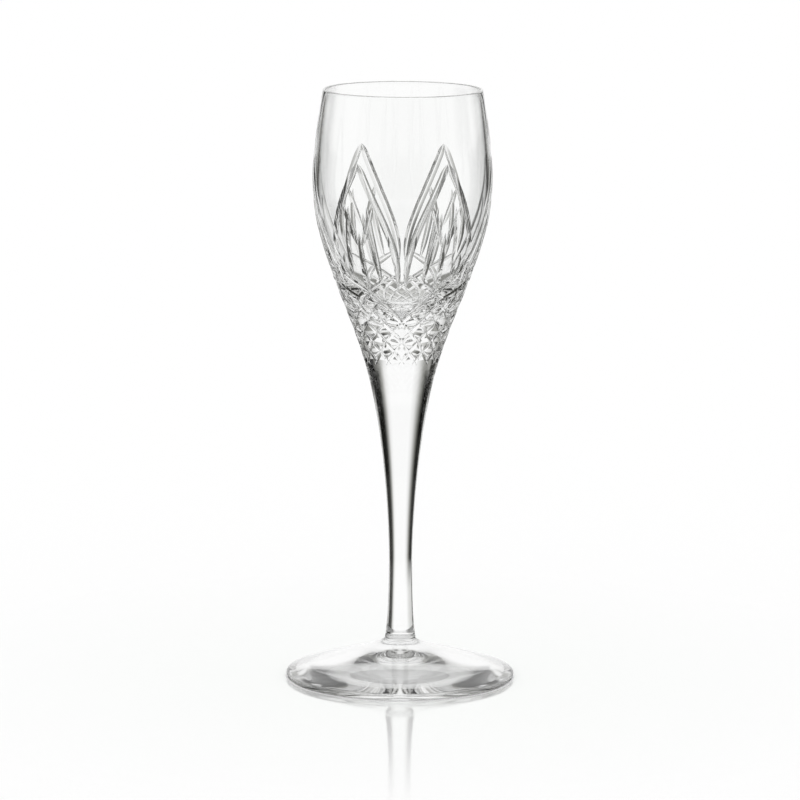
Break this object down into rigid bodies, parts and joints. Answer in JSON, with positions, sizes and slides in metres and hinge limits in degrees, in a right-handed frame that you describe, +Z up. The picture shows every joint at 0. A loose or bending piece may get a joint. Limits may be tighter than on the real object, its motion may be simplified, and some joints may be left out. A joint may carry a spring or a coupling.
{
  "type": "sherry glass",
  "caption": "Stemmed sherry glass: a tall tulip bowl with mitre-cut arches and diamonds, a slender drawn stem and a round foot.",
  "frame": {"origin": "middle of the surface that the foot rests on", "axes": "+Z up along the axis of the glass, from the foot to the rim"},
  "size_m": [0.0714, 0.0714, 0.185],
  "materials": {
    "bowl_glass": "clear polished crystal with polished mitre cuts",
    "stem_glass": "clear fire-polished crystal",
    "foot_glass": "clear fire-polished crystal"
  },
  "bodies": {
    "root": {"bowl": "bowl_glass", "stem": "stem_glass", "foot": "foot_glass"}
  },
  "joints": []
}
